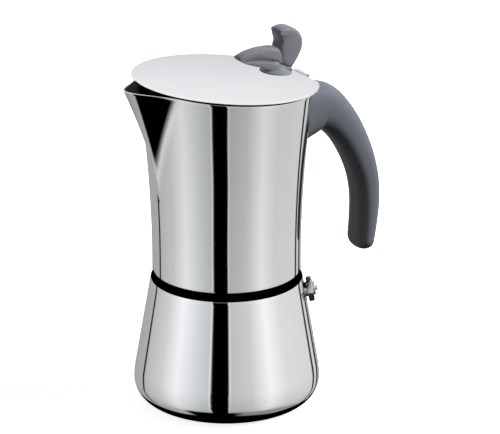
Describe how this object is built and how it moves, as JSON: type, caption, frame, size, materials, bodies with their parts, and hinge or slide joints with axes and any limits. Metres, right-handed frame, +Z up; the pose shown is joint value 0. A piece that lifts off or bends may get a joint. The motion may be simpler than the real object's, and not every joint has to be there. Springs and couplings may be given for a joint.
{
  "type": "moka pot",
  "caption": "Stovetop moka pot: steel boiler with safety valve, screw-on jug with folded spout, hinged lid with thumb lever and open-ended side handle.",
  "frame": {"origin": "middle of the base, on the surface that the pot stands on", "axes": "+Z up along the pot's axis; +X from the axis towards the handle, with the spout at -X; +Y completes the right-handed frame"},
  "size_m": [0.1561, 0.1002, 0.2031],
  "materials": {
    "polished_steel": "mirror polished stainless steel",
    "satin_steel": "satin brushed stainless steel",
    "brushed_steel": "plain stainless steel sheet",
    "nickel": "nickel-plated brass",
    "soft_plastic": "dark grey soft-touch plastic",
    "gloss_plastic": "black satin-gloss moulded plastic",
    "seal_rubber": "pale silicone rubber",
    "spring_steel": "spring wire"
  },
  "bodies": {
    "boiler": {"boiler_shell": "polished_steel", "boiler_neck": "brushed_steel", "valve_body": "nickel", "valve_washer": "seal_rubber", "valve_nut": "nickel", "valve_retainer": "nickel", "valve_spring": "spring_steel", "funnel_basket": "brushed_steel", "funnel_tube": "brushed_steel", "basket_sieve": "brushed_steel"},
    "seal": {"gasket": "seal_rubber", "filter_plate": "brushed_steel"},
    "jug": {"jug_shell": "polished_steel", "jug_floor": "brushed_steel", "jug_ring": "brushed_steel", "riser_column": "brushed_steel", "column_cap": "brushed_steel", "handle_bracket": "brushed_steel", "handle_grip": "soft_plastic", "handle_screw": "nickel", "hinge_pin": "nickel"},
    "lid": {"lid_shell": "satin_steel", "lid_leaf": "brushed_steel", "lid_knob": "gloss_plastic", "knob_washer": "nickel", "knob_screw": "nickel"},
    "valve_stem": {"valve_pin": "nickel"}
  },
  "joints": [
    {"name": "jug_rise", "type": "slide", "parent": "boiler", "child": "seal", "axis": [0, 0, 1], "range_m": [0, 0.0121]},
    {"name": "jug_turn", "type": "hinge", "parent": "seal", "child": "jug", "pos_m": [0, 0, 0.0705], "axis": [0, 0, 1], "range_deg": [0, 1080]},
    {"name": "lid_hinge", "type": "hinge", "parent": "jug", "child": "lid", "pos_m": [0.04687, 0, 0.17489], "axis": [0, 1, 0], "range_deg": [0, 105]},
    {"name": "valve_pop", "type": "slide", "parent": "boiler", "child": "valve_stem", "axis": [0.8533, -0.4927, 0.1706], "range_m": [0, 0.0015], "stiffness_N_per_m": 1500, "springref_m": -0.002, "deforming": ["valve_spring"]}
  ],
  "couplings": [
    {"joint": "jug_rise", "follows": "jug_turn", "m_per_rad": 0.00063662}
  ]
}
